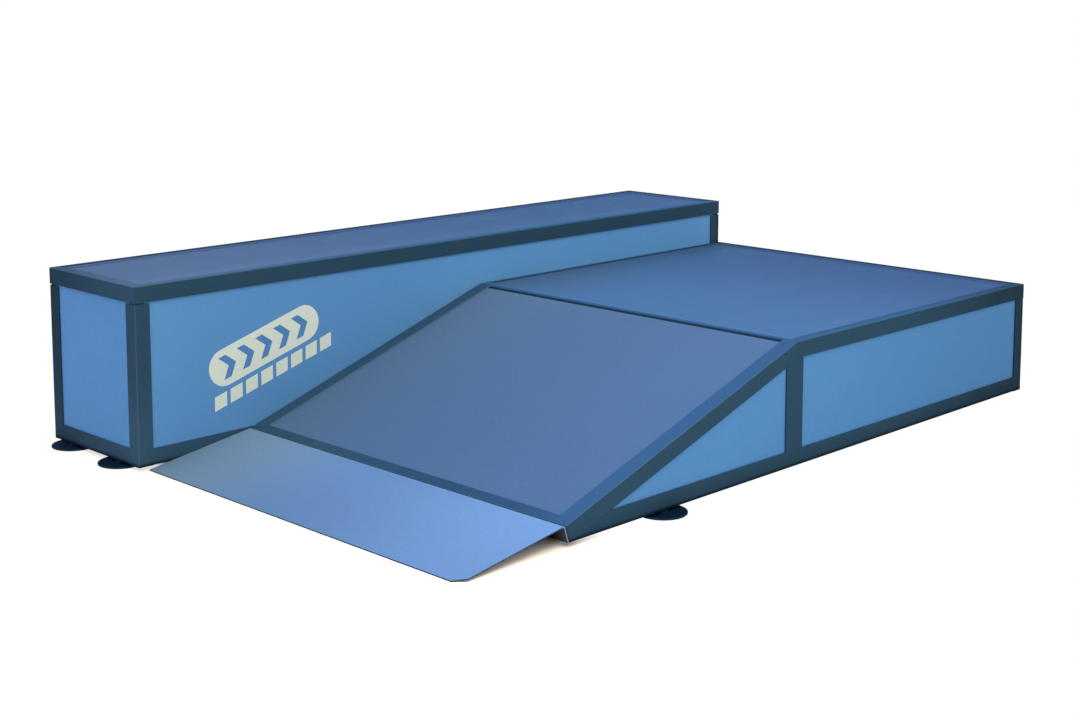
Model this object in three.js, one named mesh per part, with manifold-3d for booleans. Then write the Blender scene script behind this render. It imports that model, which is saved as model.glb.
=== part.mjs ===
// Skate obstacle of two bolted steel modules: a long grind ledge, and beside it a lower flat bank
// ramp that ends in a platform. Sizes are in millimetres, +Z is up, and riders travel along +Y.
import * as THREE from "three";
import { mergeVertices } from "three/addons/utils/BufferGeometryUtils.js";
import Module from "manifold-3d";

const wasm = await Module();
wasm.setup();

// Ledge, over its cap
const ledgeLength = 2440;
const ledgeWidth = 440;
const ledgeHeight = 500;
const capCornerRadius = 6;
const capReveal = 1.5;
const capGapHeight = 4.5;
const ledgeRimWidth = 36;
const spigotLeg = 26;
const spigotLap = 30;

// Ramp module
const rampWidth = 1222;
const platformHeight = 350;
const toeDistance = 374;
const kneeDistance = 1246;
const bankSideRimWidth = 46;
const bankFrontRimWidth = 31;
const platformRimWidth = 32;
const platformWallRimWidth = 10;
const kneeFlangeDepth = 24;

// Rolled steel angle, used for every rim, post and rail
const angleLeg = 45;
const angleWall = 4;
const rollRadius = 3;
const rootRadius = 4;

// Knee post, a wide tee bar
const kneePostWidth = 72;
const kneePostSetback = 10;
const kneeRibDepth = 36;

// Boards, panels and the tubes under the decks
const deckThickness = 18;
const deckArris = 4;
const deckEndGap = 1;
const panelThickness = 4;
const panelLap = 15;
const bearerWidth = 40;
const bearerHeight = 20;
const bearerWall = 2;
const kneeBearerSetback = 6;
const ledgeBearerCount = 2;
const bankBearerCount = 2;
const platformBearerCount = 3;

// Bent entry sheet
const sheetThickness = 3;
const sheetBendRadius = 2;
const lipDistance = 30;
const lipClearance = 1;
const sheetSideGap = 3;
const sheetCornerCut = 27;

// Levelling feet
const frameClearance = 12;
const discRadius = 64;
const discThickness = 5;
const discEdge = 1;
const hubRadius = 13;
const hubFillet = 2;
const hubRunningGap = 0.3;
const socketFloor = 3;
const socketRadius = 8.5;
const collarRadius = 8;
const collarHeight = 4;
const spindleRadius = 5;
const spindleChamfer = 1;
const spindleHeight = 85;
const spindleClearance = 0.4;
const hexSocketRadius = 3;
const hexSocketDepth = 6;
const weldBossRadius = 7.5;
const weldBossHeight = 14;
const footInset = 19;
const ledgeFootNearOffset = 118;
const ledgeFootFarOffset = 75;
const rampFootOffset = 96;
const sideFootSetback = 347;

// Gap that seated pieces keep to each other, overrun of cutting bodies, and the fineness of curves
const seatGap = 0.3;
const cutOverrun = 10;
const cornerFacets = 3;
const discFacets = 32;
const spindleFacets = 16;
const hexFacets = 6;
const boreFacets = 24;

// Places worked out from the sizes above
const underCap = angleWall + seatGap;
const ledgeNear = -capReveal;
const ledgeFar = capReveal - ledgeWidth;
const bodyFront = capReveal;
const bodyBack = ledgeLength - capReveal;
const rampLeft = ledgeNear + seatGap;
const rampRight = rampLeft + rampWidth;
const railTop = frameClearance + angleLeg;
const underDeck = angleWall + seatGap + deckThickness;
const underBearer = underDeck + seatGap + bearerHeight;
const panelBottom = railTop - panelLap;
const panelInset = angleWall + seatGap;

// The bank's lower edge line runs from the toe, and its upper line, one angle leg away, meets the knee
const kneeRun = kneeDistance - toeDistance;
const kneeRise = platformHeight - frameClearance;
const kneeReach = Math.hypot(kneeRun, kneeRise);
const bankAngle = Math.atan2(kneeRise, kneeRun) - Math.asin(angleLeg / kneeReach);
const bankLength = Math.sqrt(kneeReach ** 2 - angleLeg ** 2);
const bankFrontY = toeDistance - angleLeg * Math.sin(bankAngle);
const bankFrontZ = frameClearance + angleLeg * Math.cos(bankAngle);
const halfAngle = bankAngle / 2;
const kneeFace = kneeDistance + angleWall * Math.tan(halfAngle) + seatGap;
const kneePostFront = kneeDistance - kneePostSetback - kneePostWidth / 2;
const kneePostBack = kneePostFront + kneePostWidth;
const reach = ledgeLength + rampWidth;

const AXIS_X = new THREE.Vector3(1, 0, 0);
const AXIS_Y = new THREE.Vector3(0, 1, 0);
const AXIS_Z = new THREE.Vector3(0, 0, 1);

// Finishes

function finish(color, roughness, metalness) {
  return new THREE.MeshStandardMaterial({ color, roughness, metalness });
}

const darkSteel = () => finish(0x30495c, 0.55, 0.2);
const rimSteel = () => finish(0x3e6698, 0.55, 0.2);
const deckBoard = () => finish(0x5077a8, 0.75, 0);
const sideBoard = () => finish(0x568dc4, 0.6, 0);
const entrySheet = () => finish(0x76a0dc, 0.5, 0.2);
const footSteel = () => finish(0x1a2c46, 0.6, 0.2);
const zincSteel = () => finish(0x8b9096, 0.4, 0.8);

// Solids: joining, cutting and trimming

function solidOf(geometry) {
  const bare = geometry.clone();
  bare.deleteAttribute("normal");
  bare.deleteAttribute("uv");
  const merged = mergeVertices(bare);
  const vertProperties = new Float32Array(merged.getAttribute("position").array);
  const triVerts = new Uint32Array(merged.getIndex().array);
  return new wasm.Manifold(new wasm.Mesh({ numProp: 3, vertProperties, triVerts }));
}

function geometryOf(solid) {
  const mesh = solid.getMesh();
  const geometry = new THREE.BufferGeometry();
  geometry.setAttribute("position", new THREE.BufferAttribute(mesh.vertProperties, 3));
  geometry.setIndex(new THREE.BufferAttribute(mesh.triVerts, 1));
  const faceted = geometry.toNonIndexed();
  faceted.computeVertexNormals();
  return faceted;
}

function carve(geometry, cutters) {
  let solid = solidOf(geometry);
  for (const cutter of cutters) solid = solid.subtract(solidOf(cutter));
  return geometryOf(solid);
}

function join(geometry, additions) {
  let solid = solidOf(geometry);
  for (const addition of additions) solid = solid.add(solidOf(addition));
  return geometryOf(solid);
}

function keepInside(geometry, envelope) {
  return geometryOf(solidOf(geometry).intersect(solidOf(envelope)));
}

// Everything on the side of a plane that its normal points to
function beyond(point, normal) {
  const block = new THREE.BoxGeometry(reach, reach, reach);
  block.translate(0, 0, reach / 2);
  block.applyQuaternion(new THREE.Quaternion().setFromUnitVectors(AXIS_Z, normal));
  return block.translate(point.x, point.y, point.z);
}

// The same for an upright plane, but only between two heights
function beyondBetween(point, normal, low, high) {
  const block = new THREE.BoxGeometry(reach, reach, high - low);
  block.translate(reach / 2, 0, (low + high) / 2);
  block.rotateZ(Math.atan2(normal.y, normal.x));
  return block.translate(point.x, point.y, 0);
}

function boxBetween(low, high) {
  const size = new THREE.Vector3().subVectors(high, low);
  const middle = new THREE.Vector3().addVectors(low, high).multiplyScalar(0.5);
  return new THREE.BoxGeometry(size.x, size.y, size.z).translate(middle.x, middle.y, middle.z);
}

// Deck board with its four upper edges bevelled, to clear the rims' inner roots
function boardBetween(low, high) {
  const size = new THREE.Vector3().subVectors(high, low);
  const endCorner = new THREE.Vector3(low.x, high.y, low.z);
  const lengthwise = member(easedSection(size.x, size.z), endCorner, AXIS_X, AXIS_Z, size.y);
  const crosswise = member(easedSection(size.y, size.z), low, AXIS_Y, AXIS_Z, size.x);
  return keepInside(lengthwise, crosswise);
}

function easedSection(width, height) {
  const section = new THREE.Shape();
  section.moveTo(0, 0);
  section.lineTo(width, 0);
  section.lineTo(width, height - deckArris);
  section.lineTo(width - deckArris, height);
  section.lineTo(deckArris, height);
  section.lineTo(0, height - deckArris);
  section.closePath();
  return section;
}

// A section drawn inward and up, run along the third direction from its start
function member(section, start, inward, up, length) {
  const along = new THREE.Vector3().crossVectors(inward, up);
  const run = new THREE.ExtrudeGeometry(section, {
    depth: length,
    bevelEnabled: false,
    curveSegments: cornerFacets,
  });
  return run.applyMatrix4(new THREE.Matrix4().makeBasis(inward, up, along).setPosition(start));
}

// The same between two points of the section's outer corner line
function edgeMember(section, from, to, inward, up) {
  const along = new THREE.Vector3().crossVectors(inward, up);
  const forwards = new THREE.Vector3().subVectors(to, from).dot(along) > 0;
  return member(section, forwards ? from : to, inward, up, from.distanceTo(to));
}

// Sections

// Rolled angle with its outer corner at zero: one leg runs inward, the other hangs down
function angleSection(inwardLeg, downLeg) {
  const inner = angleWall + rootRadius;
  const section = new THREE.Shape();
  section.moveTo(rollRadius, 0);
  section.lineTo(inwardLeg, 0);
  section.lineTo(inwardLeg, -angleWall);
  section.lineTo(inner, -angleWall);
  section.absarc(inner, -inner, rootRadius, Math.PI / 2, Math.PI, false);
  section.lineTo(angleWall, -downLeg);
  section.lineTo(0, -downLeg);
  section.lineTo(0, -rollRadius);
  section.absarc(rollRadius, -rollRadius, rollRadius, Math.PI, Math.PI / 2, true);
  return section;
}

// Tee bar with its wide face at zero and its rib hanging down from the middle
function teeSection() {
  const ribSide = (kneePostWidth - angleWall) / 2;
  const ribOther = ribSide + angleWall;
  const section = new THREE.Shape();
  section.moveTo(0, 0);
  section.lineTo(kneePostWidth, 0);
  section.lineTo(kneePostWidth, -angleWall);
  section.lineTo(ribOther + rootRadius, -angleWall);
  section.absarc(ribOther + rootRadius, -angleWall - rootRadius, rootRadius, Math.PI / 2, Math.PI, false);
  section.lineTo(ribOther, -angleWall - kneeRibDepth);
  section.lineTo(ribSide, -angleWall - kneeRibDepth);
  section.lineTo(ribSide, -angleWall - rootRadius);
  section.absarc(ribSide - rootRadius, -angleWall - rootRadius, rootRadius, 0, Math.PI / 2, false);
  section.lineTo(0, -angleWall);
  return section;
}

function tubeSection() {
  const section = rectangle(0, 0, bearerWidth, bearerHeight);
  const right = bearerWidth - bearerWall;
  section.holes.push(rectangle(bearerWall, bearerWall, right, bearerHeight - bearerWall));
  return section;
}

function rectangle(left, bottom, right, top) {
  const section = new THREE.Shape();
  section.moveTo(left, bottom);
  section.lineTo(right, bottom);
  section.lineTo(right, top);
  section.lineTo(left, top);
  section.closePath();
  return section;
}

function roundedRectangle(left, bottom, right, top, radius) {
  const section = new THREE.Shape();
  section.moveTo(left + radius, bottom);
  section.absarc(right - radius, bottom + radius, radius, -Math.PI / 2, 0, false);
  section.absarc(right - radius, top - radius, radius, 0, Math.PI / 2, false);
  section.absarc(left + radius, top - radius, radius, Math.PI / 2, Math.PI, false);
  section.absarc(left + radius, bottom + radius, radius, Math.PI, 1.5 * Math.PI, false);
  return section;
}

// Mitre at a rim's corner: the plane runs from the outer corner to the inner one, and its normal
// points away from the rim that is cut. The rim runs off from the corner in its neighbour's inward
// direction.
function mitrePlane(corner, inward, width, otherInward, otherWidth) {
  const line = inward.clone().multiplyScalar(width).addScaledVector(otherInward, otherWidth);
  const normal = new THREE.Vector3().crossVectors(line, AXIS_Z).normalize();
  if (normal.dot(otherInward) > 0) normal.negate();
  const point = corner.clone().addScaledVector(normal, -seatGap / 2);
  return { point, normal };
}

function mitreCutter(corner, inward, width, otherInward, otherWidth) {
  const { point, normal } = mitrePlane(corner, inward, width, otherInward, otherWidth);
  return beyond(point, normal);
}

// Ledge

const inwardFrom = {
  near: AXIS_X.clone().negate(),
  far: AXIS_X.clone(),
  front: AXIS_Y.clone(),
  back: AXIS_Y.clone().negate(),
};

function ledgeCapAngle(side) {
  const ends = {
    near: [["near", "front"], ["near", "back"]],
    far: [["far", "front"], ["far", "back"]],
    front: [["front", "near"], ["front", "far"]],
    back: [["back", "near"], ["back", "far"]],
  }[side];
  const place = { near: 0, far: -ledgeWidth, front: 0, back: ledgeLength };
  const cornerAt = (pair) => {
    const acrossSide = pair.includes("near") ? "near" : "far";
    const alongSide = pair.includes("front") ? "front" : "back";
    return new THREE.Vector3(place[acrossSide], place[alongSide], ledgeHeight);
  };
  const [from, to] = ends.map(cornerAt);
  const section = angleSection(ledgeRimWidth, angleLeg);
  const run = edgeMember(section, from, to, inwardFrom[side], AXIS_Z);
  const cutters = ends.map((pair) =>
    mitreCutter(cornerAt(pair), inwardFrom[side], ledgeRimWidth, inwardFrom[pair[1]], ledgeRimWidth),
  );
  const outline = roundedRectangle(-ledgeWidth, 0, 0, ledgeLength, capCornerRadius);
  const envelope = new THREE.ExtrudeGeometry(outline, {
    depth: angleLeg + 2 * cutOverrun,
    bevelEnabled: false,
    curveSegments: cornerFacets,
  });
  envelope.translate(0, 0, ledgeHeight - angleLeg - cutOverrun);
  return keepInside(carve(run, cutters), envelope);
}

function ledgeDeck() {
  const top = ledgeHeight - angleWall - seatGap;
  return boardBetween(
    new THREE.Vector3(underCap - ledgeWidth, underCap, top - deckThickness),
    new THREE.Vector3(-underCap, ledgeLength - underCap, top),
  );
}

// Corner post: an upright angle with both legs on the module's outer faces
function cornerPost(x, y, acrossInward, alongInward, top) {
  const section = angleSection(angleLeg, angleLeg);
  const low = new THREE.Vector3(x, y, frameClearance);
  const high = new THREE.Vector3(x, y, top);
  return edgeMember(section, low, high, acrossInward, alongInward.clone().negate());
}

// Ledge post: it stops at a shoulder under the cap's legs, and a narrower angle, joined inside it,
// runs on behind those legs to the underside of the deck
function ledgePost(x, y, acrossInward, alongInward) {
  const shoulder = ledgeHeight - angleLeg - capGapHeight;
  const post = cornerPost(x, y, acrossInward, alongInward, shoulder);
  const cornerX = x + acrossInward.x * (underCap - capReveal);
  const cornerY = y + alongInward.y * (underCap - capReveal);
  const low = new THREE.Vector3(cornerX, cornerY, shoulder - spigotLap);
  const high = new THREE.Vector3(cornerX, cornerY, ledgeHeight - underDeck - seatGap);
  const section = angleSection(spigotLeg, spigotLeg);
  return join(post, [edgeMember(section, low, high, acrossInward, alongInward.clone().negate())]);
}

// Bottom rail: an angle with its flat leg at the bottom and its upright leg on the outer face
function bottomRail(from, to, inward) {
  return edgeMember(angleSection(angleLeg, angleLeg), from, to, inward, AXIS_Z.clone().negate());
}

function postGap() {
  return angleLeg + seatGap;
}

function ledgeLongRail(x, inward) {
  const from = new THREE.Vector3(x, bodyFront + postGap(), frameClearance);
  const to = new THREE.Vector3(x, bodyBack - postGap(), frameClearance);
  return bottomRail(from, to, inward);
}

function ledgeEndRail(y, inward) {
  const from = new THREE.Vector3(ledgeFar + postGap(), y, frameClearance);
  const to = new THREE.Vector3(ledgeNear - postGap(), y, frameClearance);
  const footX = [ledgeFar + ledgeFootFarOffset, ledgeNear - ledgeFootNearOffset];
  const footY = y + inward.y * footInset;
  return withFootBosses(bottomRail(from, to, inward), footX.map((x) => new THREE.Vector2(x, footY)));
}

function ledgeLongPanel(x, inward) {
  const faceX = x + inward.x * panelInset;
  const backX = faceX + inward.x * panelThickness;
  const endInset = angleLeg - panelLap;
  const top = ledgeHeight - underBearer - seatGap;
  return boxBetween(
    new THREE.Vector3(Math.min(faceX, backX), bodyFront + endInset, panelBottom),
    new THREE.Vector3(Math.max(faceX, backX), bodyBack - endInset, top),
  );
}

function ledgeEndPanel(y, inward) {
  const faceY = y + inward.y * panelInset;
  const backY = faceY + inward.y * panelThickness;
  const endInset = angleLeg - panelLap;
  const top = ledgeHeight - underBearer - seatGap;
  return boxBetween(
    new THREE.Vector3(ledgeFar + endInset, Math.min(faceY, backY), panelBottom),
    new THREE.Vector3(ledgeNear - endInset, Math.max(faceY, backY), top),
  );
}

// Tube that lies across a module, under its deck: middle is the place of its middle line
function crossBearer(left, right, middle, top) {
  const start = new THREE.Vector3(left, middle - bearerWidth / 2, top - bearerHeight);
  return member(tubeSection(), start, AXIS_Y, AXIS_Z, right - left);
}

function ledgeBearer(index) {
  const middle = (ledgeLength * index) / (ledgeBearerCount + 1);
  return crossBearer(underCap - ledgeWidth, -underCap, middle, ledgeHeight - underDeck - seatGap);
}

// Levelling feet

// Threaded bosses welded on a rail's flat leg, each with its hole right through
function withFootBosses(rail, places) {
  const flatTop = frameClearance + angleWall;
  const bossLow = frameClearance + angleWall / 2;
  const bossHigh = flatTop + weldBossHeight;
  const bosses = places.map((place) =>
    upright(weldBossRadius, bossLow, bossHigh, boreFacets).translate(place.x, place.y, 0),
  );
  const holeLow = frameClearance - cutOverrun;
  const holeHigh = bossHigh + cutOverrun;
  const holes = places.map((place) =>
    upright(spindleRadius + spindleClearance, holeLow, holeHigh, boreFacets).translate(place.x, place.y, 0),
  );
  return carve(join(rail, bosses), holes);
}

function upright(radius, low, high, facets) {
  const cylinder = new THREE.CylinderGeometry(radius, radius, high - low, facets);
  return cylinder.rotateX(Math.PI / 2).translate(0, 0, (low + high) / 2);
}

function revolve(points, facets) {
  const profile = points.map(([radius, height]) => new THREE.Vector2(radius, height));
  return new THREE.LatheGeometry(profile, facets).rotateX(Math.PI / 2);
}

// Disc with a hub whose undercut socket traps the spindle's collar
function footPlate() {
  const hubTop = frameClearance - hubRunningGap;
  const lipBottom = socketFloor + collarHeight + 2 * seatGap;
  const neckRadius = spindleRadius + spindleClearance;
  return revolve(
    [
      [0, 0],
      [discRadius - discEdge, 0],
      [discRadius, discEdge],
      [discRadius, discThickness - discEdge],
      [discRadius - discEdge, discThickness],
      [hubRadius + hubFillet, discThickness],
      [hubRadius, discThickness + hubFillet],
      [hubRadius, hubTop],
      [neckRadius, hubTop],
      [neckRadius, lipBottom],
      [socketRadius, lipBottom],
      [socketRadius, socketFloor],
      [0, socketFloor],
    ],
    discFacets,
  );
}

// Spindle with a collar below, and a hexagon socket in its top for the key that turns it
function footSpindle() {
  const base = socketFloor + seatGap;
  const collarTop = base + collarHeight;
  const bar = revolve(
    [
      [0, base],
      [collarRadius, base],
      [collarRadius, collarTop],
      [spindleRadius, collarTop],
      [spindleRadius, spindleHeight - spindleChamfer],
      [spindleRadius - spindleChamfer, spindleHeight],
      [0, spindleHeight],
    ],
    spindleFacets,
  );
  const socketLow = spindleHeight - hexSocketDepth;
  return carve(bar, [upright(hexSocketRadius, socketLow, spindleHeight + cutOverrun, hexFacets)]);
}

function footPlaces() {
  const sideY = toeDistance + sideFootSetback;
  const front = bodyFront + footInset;
  const back = bodyBack - footInset;
  return {
    ledge_front_right: new THREE.Vector2(ledgeNear - ledgeFootNearOffset, front),
    ledge_front_left: new THREE.Vector2(ledgeFar + ledgeFootFarOffset, front),
    ledge_back_right: new THREE.Vector2(ledgeNear - ledgeFootNearOffset, back),
    ledge_back_left: new THREE.Vector2(ledgeFar + ledgeFootFarOffset, back),
    ramp_front_right: new THREE.Vector2(rampRight - footInset, sideY),
    ramp_front_left: new THREE.Vector2(rampLeft + footInset, sideY),
    ramp_back_right: new THREE.Vector2(rampRight - rampFootOffset, back),
    ramp_back_left: new THREE.Vector2(rampLeft + rampFootOffset, back),
  };
}

// Ramp, drawn on the bank's own plane: x across, y up the slope from its front edge, z out of it

function bankKneeCutter() {
  const normal = new THREE.Vector3(0, Math.cos(halfAngle), -Math.sin(halfAngle));
  const point = new THREE.Vector3(0, bankLength, 0).addScaledVector(normal, -seatGap / 2);
  return beyond(point, normal);
}

function bankSideRim(x, inward) {
  const section = angleSection(bankSideRimWidth, angleLeg);
  const from = new THREE.Vector3(x, 0, 0);
  const to = new THREE.Vector3(x, bankLength + angleLeg, 0);
  const run = edgeMember(section, from, to, inward, AXIS_Z);
  const mitre = mitreCutter(from, inward, bankSideRimWidth, AXIS_Y, bankFrontRimWidth);
  return carve(run, [mitre, bankKneeCutter()]);
}

function bankFrontRim() {
  const section = angleSection(bankFrontRimWidth, angleLeg);
  const left = new THREE.Vector3(rampLeft, 0, 0);
  const right = new THREE.Vector3(rampRight, 0, 0);
  const run = edgeMember(section, left, right, AXIS_Y, AXIS_Z);
  return carve(run, [
    mitreCutter(left, AXIS_Y, bankFrontRimWidth, inwardFrom.far, bankSideRimWidth),
    mitreCutter(right, AXIS_Y, bankFrontRimWidth, inwardFrom.near, bankSideRimWidth),
  ]);
}

// Where the deck's underside, square cut, still clears the knee's front flange
function bankDeckEnd() {
  const undersideShift = (underDeck * Math.sin(bankAngle) + deckEndGap) / Math.cos(bankAngle);
  return bankLength - undersideShift;
}

function bankDeck() {
  const side = angleWall + seatGap;
  return boardBetween(
    new THREE.Vector3(rampLeft + side, side, -underDeck),
    new THREE.Vector3(rampRight - side, bankDeckEnd(), -angleWall - seatGap),
  );
}

function bankBearer(index) {
  const side = angleWall + seatGap;
  const lastMiddle = bankDeckEnd() - kneeBearerSetback - bearerWidth / 2;
  const middle = (lastMiddle * index) / bankBearerCount;
  return crossBearer(rampLeft + side, rampRight - side, middle, -underDeck - seatGap);
}

// Ramp, drawn in the module's upright frame

// The line one angle leg under the bank's upper line, where the bank's side flanges end
function underBankCutter() {
  const normal = new THREE.Vector3(0, -Math.sin(bankAngle), Math.cos(bankAngle));
  const toe = new THREE.Vector3(0, toeDistance, frameClearance);
  return beyond(toe.addScaledVector(normal, -seatGap), normal);
}

function platformKneeCutter() {
  const normal = new THREE.Vector3(0, -Math.cos(halfAngle), -Math.sin(halfAngle));
  const knee = new THREE.Vector3(0, kneeDistance, platformHeight);
  return beyond(knee.addScaledVector(normal, -seatGap / 2), normal);
}

// Its top leg is mitred with the knee rim, its side leg with the bank's side leg
function platformSideRim(x, inward, width) {
  const section = angleSection(width, angleLeg);
  const kneeCorner = new THREE.Vector3(x, kneeFace, platformHeight);
  const backCorner = new THREE.Vector3(x, bodyBack, platformHeight);
  const start = new THREE.Vector3(x, kneeDistance - angleLeg, platformHeight);
  const run = edgeMember(section, start, backCorner, inward, AXIS_Z);
  const mitre = mitrePlane(kneeCorner, inward, width, AXIS_Y, platformRimWidth);
  const topLow = platformHeight - angleWall - seatGap;
  const topHigh = platformHeight + cutOverrun;
  return carve(run, [
    beyondBetween(mitre.point, mitre.normal, topLow, topHigh),
    platformKneeCutter(),
    mitreCutter(backCorner, inward, width, inwardFrom.back, platformRimWidth),
  ]);
}

function platformBackRim() {
  const section = angleSection(platformRimWidth, angleLeg);
  const left = new THREE.Vector3(rampLeft, bodyBack, platformHeight);
  const right = new THREE.Vector3(rampRight, bodyBack, platformHeight);
  const run = edgeMember(section, left, right, inwardFrom.back, AXIS_Z);
  return carve(run, [
    mitreCutter(left, inwardFrom.back, platformRimWidth, inwardFrom.far, platformWallRimWidth),
    mitreCutter(right, inwardFrom.back, platformRimWidth, inwardFrom.near, platformRimWidth),
  ]);
}

// Knee rim: its front flange stops short of the side flanges, its top leg is mitred with the sides
function kneeRim() {
  const section = angleSection(platformRimWidth, kneeFlangeDepth);
  const left = new THREE.Vector3(rampLeft, kneeFace, platformHeight);
  const right = new THREE.Vector3(rampRight, kneeFace, platformHeight);
  const run = edgeMember(section, left, right, AXIS_Y, AXIS_Z);
  const short = angleWall + rootRadius + seatGap;
  const flangeLow = platformHeight - kneeFlangeDepth - cutOverrun;
  const flangeHigh = platformHeight - angleWall;
  const leftEnd = new THREE.Vector3(rampLeft + short, 0, 0);
  const rightEnd = new THREE.Vector3(rampRight - short, 0, 0);
  return carve(run, [
    mitreCutter(left, AXIS_Y, platformRimWidth, inwardFrom.far, platformWallRimWidth),
    mitreCutter(right, AXIS_Y, platformRimWidth, inwardFrom.near, platformRimWidth),
    beyondBetween(leftEnd, inwardFrom.near, flangeLow, flangeHigh),
    beyondBetween(rightEnd, inwardFrom.far, flangeLow, flangeHigh),
  ]);
}

function platformDeck() {
  const side = angleWall + seatGap;
  const top = platformHeight - angleWall - seatGap;
  return boardBetween(
    new THREE.Vector3(rampLeft + side, kneeFace + side, top - deckThickness),
    new THREE.Vector3(rampRight - side, bodyBack - side, top),
  );
}

function platformBearer(index) {
  const side = angleWall + seatGap;
  const firstMiddle = kneeFace + side + kneeBearerSetback + bearerWidth / 2;
  const step = (bodyBack - firstMiddle) / platformBearerCount;
  const top = platformHeight - underDeck - seatGap;
  return crossBearer(rampLeft + side, rampRight - side, firstMiddle + step * (index - 1), top);
}

function kneePost(x, outward) {
  const inwardY = AXIS_Y.clone();
  const low = new THREE.Vector3(x, kneePostFront, railTop + seatGap);
  const high = new THREE.Vector3(x, kneePostFront, platformHeight - angleLeg - seatGap);
  const run = edgeMember(teeSection(), low, high, inwardY, outward);
  return carve(run, [underBankCutter()]);
}

function rampSideRail(x, inward) {
  const from = new THREE.Vector3(x, toeDistance - cutOverrun, frameClearance);
  const to = new THREE.Vector3(x, bodyBack - postGap(), frameClearance);
  const rail = carve(bottomRail(from, to, inward), [underBankCutter()]);
  const foot = new THREE.Vector2(x + inward.x * footInset, toeDistance + sideFootSetback);
  return withFootBosses(rail, [foot]);
}

function rampBackRail() {
  const from = new THREE.Vector3(rampLeft + postGap(), bodyBack, frameClearance);
  const to = new THREE.Vector3(rampRight - postGap(), bodyBack, frameClearance);
  const footX = [rampLeft + rampFootOffset, rampRight - rampFootOffset];
  const footY = bodyBack - footInset;
  const places = footX.map((x) => new THREE.Vector2(x, footY));
  return withFootBosses(bottomRail(from, to, inwardFrom.back), places);
}

// Height of the line that lies a depth under the bank's upper line, at a distance along the ramp
function heightUnderBank(y, depth) {
  return bankFrontZ + (y - bankFrontY) * Math.tan(bankAngle) - depth / Math.cos(bankAngle);
}

function sidePanel(points) {
  const outline = new THREE.Shape(points.map(([y, z]) => new THREE.Vector2(y, z)));
  const start = new THREE.Vector3(rampRight - panelInset - panelThickness, 0, 0);
  return member(outline, start, AXIS_Y, AXIS_Z, panelThickness);
}

function trianglePanel() {
  const depth = underBearer + seatGap;
  const right = kneePostFront + panelLap;
  const drop = panelBottom - heightUnderBank(toeDistance, depth);
  const tip = toeDistance + drop / Math.tan(bankAngle);
  return sidePanel([
    [tip, panelBottom],
    [right, panelBottom],
    [right, heightUnderBank(right, depth)],
  ]);
}

function rectanglePanel() {
  const front = kneePostBack - panelLap;
  const back = bodyBack - angleLeg + panelLap;
  const top = platformHeight - underBearer - seatGap;
  return sidePanel([
    [front, panelBottom],
    [back, panelBottom],
    [back, top],
    [front, top],
  ]);
}

function rampBackPanel() {
  const endInset = angleLeg - panelLap;
  const face = bodyBack - panelInset;
  const top = platformHeight - underBearer - seatGap;
  return boxBetween(
    new THREE.Vector3(rampLeft + endInset, face - panelThickness, panelBottom),
    new THREE.Vector3(rampRight - endInset, face, top),
  );
}

// Entry sheet: a flange on the bank's front face, a bend, and a slope down to the lip
function entryPlate() {
  const bend = new THREE.Vector2(
    bankFrontY - seatGap * Math.cos(bankAngle),
    bankFrontZ - seatGap * Math.sin(bankAngle),
  );
  const lip = new THREE.Vector2(lipDistance, lipClearance + sheetThickness);
  const slope = lip.clone().sub(bend).normalize();
  const flange = new THREE.Vector2(Math.sin(bankAngle), -Math.cos(bankAngle));
  const under = new THREE.Vector2(-slope.y, slope.x).multiplyScalar(sheetThickness);
  const outer = new THREE.Vector2(flange.y, -flange.x).multiplyScalar(sheetThickness);
  const halfBend = Math.acos(slope.dot(flange)) / 2;
  const outerRadius = sheetBendRadius + sheetThickness;
  const tangent = outerRadius / Math.tan(halfBend);
  const middle = slope.clone().add(flange).normalize();
  const centre = bend.clone().addScaledVector(middle, outerRadius / Math.sin(halfBend));
  const onSlope = bend.clone().addScaledVector(slope, tangent);
  const onFlange = bend.clone().addScaledVector(flange, tangent);
  const flangeEnd = bend.clone().addScaledVector(flange, angleLeg);
  const slopeAngle = onSlope.clone().sub(centre).angle();
  const flangeAngle = onFlange.clone().sub(centre).angle();
  const section = new THREE.Shape();
  section.moveTo(lip.x, lip.y);
  section.lineTo(onSlope.x, onSlope.y);
  section.absarc(centre.x, centre.y, outerRadius, slopeAngle, flangeAngle, true);
  section.lineTo(flangeEnd.x, flangeEnd.y);
  section.lineTo(flangeEnd.x + outer.x, flangeEnd.y + outer.y);
  section.lineTo(onFlange.x + outer.x, onFlange.y + outer.y);
  section.absarc(centre.x, centre.y, sheetBendRadius, flangeAngle, slopeAngle, false);
  section.lineTo(lip.x + under.x, lip.y + under.y);
  const left = rampLeft + sheetSideGap;
  const right = rampRight - sheetSideGap;
  const sheet = member(section, new THREE.Vector3(left, 0, 0), AXIS_Y, AXIS_Z, right - left);
  const cutNormal = new THREE.Vector3(1, -1, 0).normalize();
  const cutPoint = new THREE.Vector3(right - sheetCornerCut / 2, lipDistance + sheetCornerCut / 2, 0);
  return carve(sheet, [beyond(cutPoint, cutNormal)]);
}

// Assembly

function piece(name, geometry, material) {
  const mesh = new THREE.Mesh(geometry, material);
  mesh.name = name;
  return mesh;
}

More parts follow.
